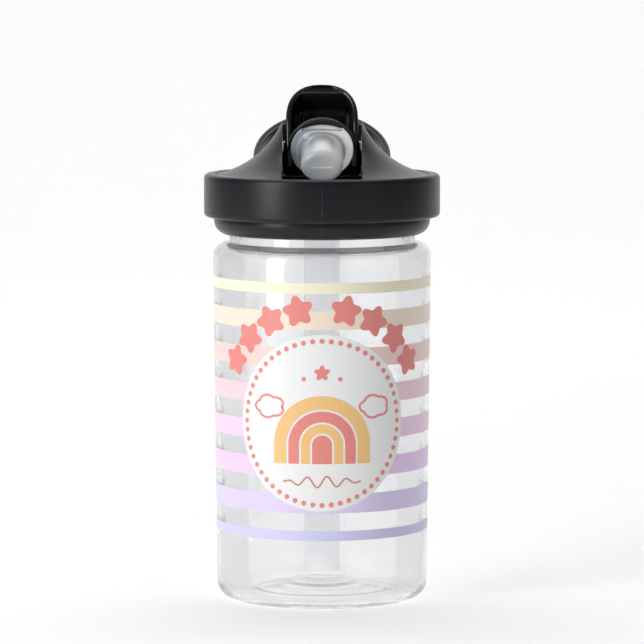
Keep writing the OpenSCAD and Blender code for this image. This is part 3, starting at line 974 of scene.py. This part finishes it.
BACK = [(h, 2.2 + 4.0 * math.sqrt(max(0.0, 1 - (h / 24.7) ** 2.2))) for h in
        [24.7 * i / 40 for i in range(41)]]
FRONT = [(h, -10.6 + 9.2 * (max(0.0, h - 3) / 21.7) ** 1.55) for h in
         [24.7 * i / 40 for i in range(41)]]


def ease(value):
    value = max(0.0, min(1.0, value))
    return value * value * (3 - 2 * value)


def hood_edge(t):
    """The hood's front outline from the left foot (t=0) over the crown to the right foot."""
    foot_z = pivot_z - 2.0
    straight = CROWN_Z - foot_z
    crown = math.pi / 2 * hood_half * 1.06
    total = 2 * (straight + crown)
    way = t * total
    if way < straight:
        return Vector((-hood_half, foot_z + way))
    if way > total - straight:
        return Vector((hood_half, foot_z + total - way))
    a = math.pi - math.pi * (way - straight) / (2 * crown)
    power = 2 / 2.5
    return Vector((hood_half * math.copysign(abs(math.cos(a)) ** power, math.cos(a)),
                   CROWN_Z + hood_half * math.sin(a) ** power))


def hollow_depth(x, z):
    """How far the hollow's face lies in front of the back. It runs out to the front edge at the
    top, so the scoop has no step there, and it carries a shallow ledge half-way down."""
    height = max(0.0, z - pivot_z)
    depth = between(BACK, height) - between(FRONT, height)
    run_out = (depth - HOOD_WALL - 0.02) * ease((z - hood_top + 9.0) / 8.5)
    line = pivot_z + 15.0 - 0.02 * x * x
    ledge = 0.5 * (1 - ease((z - line) / 0.5)) * (1 - ease((abs(x) - 6.2) / 1.2))
    return HOOD_WALL + run_out + ledge


def hood_point(t, s):
    """A point of the hood: s runs from the middle of the back, round the rim, to the hollow."""
    edge = hood_edge(t)
    middle = Vector((0, min(max(edge.y, pivot_z - 2.0), CROWN_Z)))
    reach = (middle - edge).length
    inward = (middle - edge).normalized() if reach > 1e-6 else Vector((0, -1))
    height = max(0.0, edge.y - pivot_z)
    depth = between(BACK, height) - between(FRONT, height)
    rim, bend = HOOD_WALL / 2, min(3.4, depth * 0.42)
    hollow = hollow_depth(edge.x, edge.y)
    inner = max(0.1, min(2.6, (depth - rim - hollow) * 0.8))
    if s < 0.14:
        inset, forward = reach + (bend - reach) * s / 0.14, 0.0
    elif s < 0.22:
        a = math.pi / 2 * (s - 0.14) / 0.08
        inset, forward = bend * (1 - math.sin(a)), bend * (1 - math.cos(a))
    elif s < 0.36:
        inset, forward = 0.0, bend + (depth - rim - bend) * (s - 0.22) / 0.14
    elif s < 0.50:
        a = math.pi * (s - 0.36) / 0.14
        inset, forward = rim * (1 - math.cos(a)), depth - rim + rim * math.sin(a)
    elif s < 0.58:
        u = (s - 0.50) / 0.08
        inset, forward = HOOD_WALL, depth - rim + (hollow + inner - depth + rim) * u
    elif s < 0.66:
        a = math.pi / 2 * (s - 0.58) / 0.08
        inset = HOOD_WALL + inner * (1 - math.cos(a))
        forward = hollow + inner * (1 - math.sin(a))
    else:
        inset, forward = HOOD_WALL + inner + (reach - HOOD_WALL - inner) * (s - 0.66) / 0.34, 0.0
    spot = edge + inward * min(inset, reach)
    if s > 0.43:
        forward = max(forward, hollow_depth(spot.x, spot.y))
    return Vector((spot.x, between(BACK, max(0.0, spot.y - pivot_z)) - forward, spot.y)) * MM


def hood():
    deselect()
    bpy.ops.mesh.primitive_grid_add(x_subdivisions=128, y_subdivisions=124, size=2)
    piece = bpy.context.object
    reshape(piece, lambda co: hood_point((co.x + 1) / 2, (co.y + 1) / 2))
    edit(piece)
    bpy.ops.mesh.remove_doubles(threshold=0.01 * MM)
    bpy.ops.mesh.select_all(action="DESELECT")
    bpy.ops.mesh.select_non_manifold(extend=False)
    bpy.ops.mesh.edge_face_add()
    bpy.ops.object.mode_set(mode="OBJECT")
    outward(piece)
    deselect()
    bpy.ops.mesh.primitive_cube_add(size=1, location=(0, BARREL_R * MM, PIVOT.z))
    notch = bpy.context.object
    notch.scale = (NOTCH * MM, 2 * BARREL_R * MM, NOTCH * MM)
    done(notch, "notch", 0)
    modify(piece, "BOOLEAN", operation="DIFFERENCE", object=notch, solver="EXACT")
    bpy.data.objects.remove(notch)
    outward(piece)
    return done(piece, "hood", 70)


def rod(radius, low_x, high_x, bevel):
    """A bar along X at the pivot, with eased ends."""
    deselect()
    bpy.ops.mesh.primitive_cylinder_add(vertices=72, radius=radius * MM, depth=(high_x - low_x) * MM,
                                        location=((low_x + high_x) / 2 * MM, 0, PIVOT.z),
                                        rotation=(0, math.pi / 2, 0))
    piece = done(bpy.context.object, None, 0)
    return modify(piece, "BEVEL", width=bevel * MM, segments=3, limit_method="ANGLE",
                  angle_limit=math.radians(60))


def at_valve(piece, name=None, angle=40):
    """Tilts a piece turned about the upright axis into the mouthpiece's place."""
    piece.rotation_euler = (math.radians(90 + VALVE_TILT), 0, 0)
    piece.location = (0, VALVE_Y * MM, PIVOT.z + VALVE_UP * MM)
    return done(piece, name, angle)


cup = lathe("valve_cup", rounded([
    (2.6, -7.6, 0.2), (4.4, -5.6, 0.8), (11.4, -0.6, 1.2), (11.5, 1.3, 0.4), (10.62, 1.3, 0.3),
    (10.6, -0.2, 0.3), (3.9, -0.2, 0.3), (3.9, 6.0, 0.5), (2.6, 6.0, 0.3)], 6), steps=112)
at_valve(cup, "valve_cup")
spout = join("spout_shell", [hood(), rod(BARREL_R, -12.55, 12.55, 0.5), rod(2.5, 12.0, 17.1, 0.4),
                             rod(2.5, -17.1, -12.0, 0.4), rod(5.4, -13.1, 13.1, 0.2), cup], 50)
give(spout, SPOUT_BLACK, "spout", "spout_black", "flip_spout")
print("spout", len(spout.data.polygons), "faces")

# %% [markdown]
# The spout turns on two short trunnions, one in each cheek. Their sockets are cut a little
# wider than the trunnions, as the engineering model has them.

# %% Sockets in the cheeks
SOCKET_R, SOCKET_END = 2.56, 17.6
before = len(cover.data.polygons)
for side in (-1, 1):
    low_x, high_x = sorted((side * 12.6, side * SOCKET_END))
    socket = rod(SOCKET_R, low_x, high_x, 0.05)
    modify(cover, "BOOLEAN", operation="DIFFERENCE", object=socket, solver="EXACT")
    bpy.data.objects.remove(socket)
outward(cover)
print("cheeks", before, "->", len(cover.data.polygons), "faces")

# %% [markdown]
# ## The mouthpiece
# The mouthpiece is moulded silicone: a flat flange with its top cut straight, and a nipple
# that flattens towards a slit. It is turned as a round part first; then its vertices are
# pushed so that the tip becomes oval, which is easier to bite.

# %% Mouthpiece
FLANGE_R, NIPPLE_R, NIPPLE_L, TIP_HALF = 10.4, 6.85, 14.0, 5.9
mouth_outline = rounded([
    (3.92, 0.05, 0.1), (FLANGE_R, 0.05, 0.3), (FLANGE_R, 1.6, 0.45), (8.5, 1.6, 0.6),
    (NIPPLE_R + 0.1, 3.0, 1.0), (NIPPLE_R, NIPPLE_L, 2.2), (0, NIPPLE_L + 0.2, 0),
    (0, NIPPLE_L - 1.6, 0), (NIPPLE_R - 1.4, NIPPLE_L - 1.7, 1.2), (NIPPLE_R - 1.4, 8.0, 0.8),
    (3.92, 6.7, 0.4)], 8)
mouth = lathe("mouthpiece", mouth_outline, steps=128, close=True, angle=45)


def flatten_tip(co):
    """Squeezes the far end to an oval and trims the flange's top to a shallow bow."""
    x, y, z = co / MM
    share = ease((z - 2.5) / (NIPPLE_L - 2.5))
    x, y = x * (1 + 0.03 * share), y * (1 - (1 - TIP_HALF / NIPPLE_R) * share)
    if z < 3.1 and abs(x) < 6.6 and y > 5.5:
        bow = 7.3 + 1.5 * (1 - (x / 6.6) ** 2)
        y = 5.5 + (y - 5.5) * (bow - 5.5) / (math.sqrt(FLANGE_R ** 2 - x * x) - 5.5)
    return Vector((x, y, z)) * MM


reshape(mouth, flatten_tip)
deselect()
bpy.ops.mesh.primitive_cube_add(size=1, location=(0, 0, NIPPLE_L * MM))
slit = bpy.context.object
slit.scale = (7.0 * MM, 0.35 * MM, 6.0 * MM)
done(slit, "slit", 0)
modify(mouth, "BOOLEAN", operation="DIFFERENCE", object=slit, solver="EXACT")
bpy.data.objects.remove(slit)
outward(mouth)
at_valve(mouth, "mouthpiece", 45)
give(mouth, MOUTH_SILICONE, "spout", "mouth_silicone", "bite_valve")
print("mouthpiece", len(mouth.data.polygons), "faces")

# %% [markdown]
# ## The straw
# The straw is a plain tube with a slanted lower end, so that it can't seal itself on the
# bottom. It is turned with both its faces, then cut on the slant.

# %% Straw
STRAW_R, STRAW_WALL = straw_high.x / MM, 1.1
straw = lathe("straw_tube", rounded([
    (STRAW_R - STRAW_WALL, straw_low.z / MM, 0.2), (STRAW_R, straw_low.z / MM, 0.2),
    (STRAW_R, straw_high.z / MM, 0.2), (STRAW_R - STRAW_WALL, straw_high.z / MM, 0.2)], 3), steps=96)
edit(straw)
slant = math.radians(30)
bpy.ops.mesh.bisect(plane_co=(0, 0, straw_low.z), plane_no=(0, math.sin(slant), -math.cos(slant)),
                    clear_outer=True, use_fill=True)
bpy.ops.object.mode_set(mode="OBJECT")
outward(straw)
done(straw, "straw_tube", 35)
give(straw, STRAW_PLASTIC, "lid", "straw_plastic", "straw")

# %% [markdown]
# ## Parts that keep their engineering shape
# The seals, the straw's socket and the air valve have the right shape already, so they only
# take their finish.

# %% Finishes on the frame's own parts
for node in ("neck_gasket", "spout_seal", "straw_socket", "vent_valve"):
    part = frame["nodes"][node]
    part.data.materials.clear()
    part.data.materials.append(SEAL_SILICONE)
print("kept: neck_gasket, spout_seal, straw_socket, vent_valve")

# %% [markdown]
# ## Studio
# A pale floor sweeps up behind the bottle into a wall without an edge, so nothing but the
# bottle draws the eye, and it glows a little so that it stays pale near the bottle. A large
# soft lamp stands to the left, one hangs overhead, one lights the wall, and a weak one on the
# right keeps that side readable.

# %% Floor and backdrop
sweep_line = [(-1.6, 0.0), (1.4, 0.0)] + [
    (1.4 + 0.6 * math.sin(math.radians(a)), 0.6 - 0.6 * math.cos(math.radians(a))) for a in range(10, 91, 10)]
sweep_line += [(2.0, 2.2)]
floor = trace([(-2.4, y, z) for y, z in sweep_line])
bpy.ops.mesh.select_all(action="SELECT")
bpy.ops.mesh.extrude_region_move(TRANSFORM_OT_translate={"value": (4.8, 0, 0)})
bpy.ops.mesh.normals_make_consistent(inside=False)
bpy.ops.object.mode_set(mode="OBJECT")
done(floor, "floor", 60)
floor_paint = Paint("floor_paint")
floor_tone = floor_paint.mix(floor_paint.noise(6.0), (0.86, 0.86, 0.865, 1), (0.88, 0.88, 0.88, 1))
floor.data.materials.append(floor_paint.finish(floor_paint.plastic(
    Base_Color=floor_tone, Roughness=0.9, Specular_IOR_Level=0.1, Emission_Color=(1, 1, 1, 1),
    Emission_Strength=0.22)))


# %% Lamps and camera
def lamp(name, place, aim, size, power, tint=(1, 1, 1)):
    deselect()
    bpy.ops.object.light_add(type="AREA", location=place)
    light = bpy.context.object
    light.name = name
    light.data.shape = "RECTANGLE"
    light.data.size, light.data.size_y = size
    light.data.energy = power
    light.data.color = tint
    light.rotation_euler = (Vector(aim) - Vector(place)).to_track_quat("-Z", "Y").to_euler()
    return light


lamp("left_softbox", (-1.0, -0.82, 0.5), (0, 0, 0.1), (0.5, 1.1), 12)
lamp("right_softbox", (0.95, -0.95, 0.5), (0, 0, 0.1), (0.4, 1.0), 0.5)
lamp("overhead_softbox", (0, 0.2, 1.8), (0, 0.2, 0), (1.6, 1.6), 11)
lamp("backdrop_lamp", (0, 0.7, 1.9), (0, 1.9, 0.3), (2.4, 0.6), 15)

# %% [markdown]
# The room is dim for what the plastics mirror, but bright for rays that have come through a
# clear wall: white cards stand round a clear object in a real studio for the same reason, so
# that its edges don't go black.

# %% Room light
world = bpy.data.worlds.new("studio_room")
bpy.context.scene.world = world
world.use_nodes = True
room = world.node_tree
sky = room.nodes["Background"]
sky.inputs["Color"].default_value = (0.96, 0.975, 1.0, 1)
rays = room.nodes.new("ShaderNodeLightPath")
level = room.nodes.new("ShaderNodeMapRange")
level.inputs["To Min"].default_value = 0.15
level.inputs["To Max"].default_value = 0.9
room.links.new(rays.outputs["Is Transmission Ray"], level.inputs["Value"])
room.links.new(level.outputs["Result"], sky.inputs["Strength"])
bpy.context.scene.view_settings.view_transform = "Standard"

CAMERA_Y, CAMERA_Z, CAMERA_PITCH, CAMERA_LENS = -1.393, 0.2277, 5.52, 231.5
bpy.ops.object.camera_add(location=(0, CAMERA_Y, CAMERA_Z),
                          rotation=(math.radians(90 - CAMERA_PITCH), 0, 0))
camera = bpy.context.object
camera.data.sensor_width = 36.0
camera.data.lens = CAMERA_LENS
bpy.context.scene.camera = camera
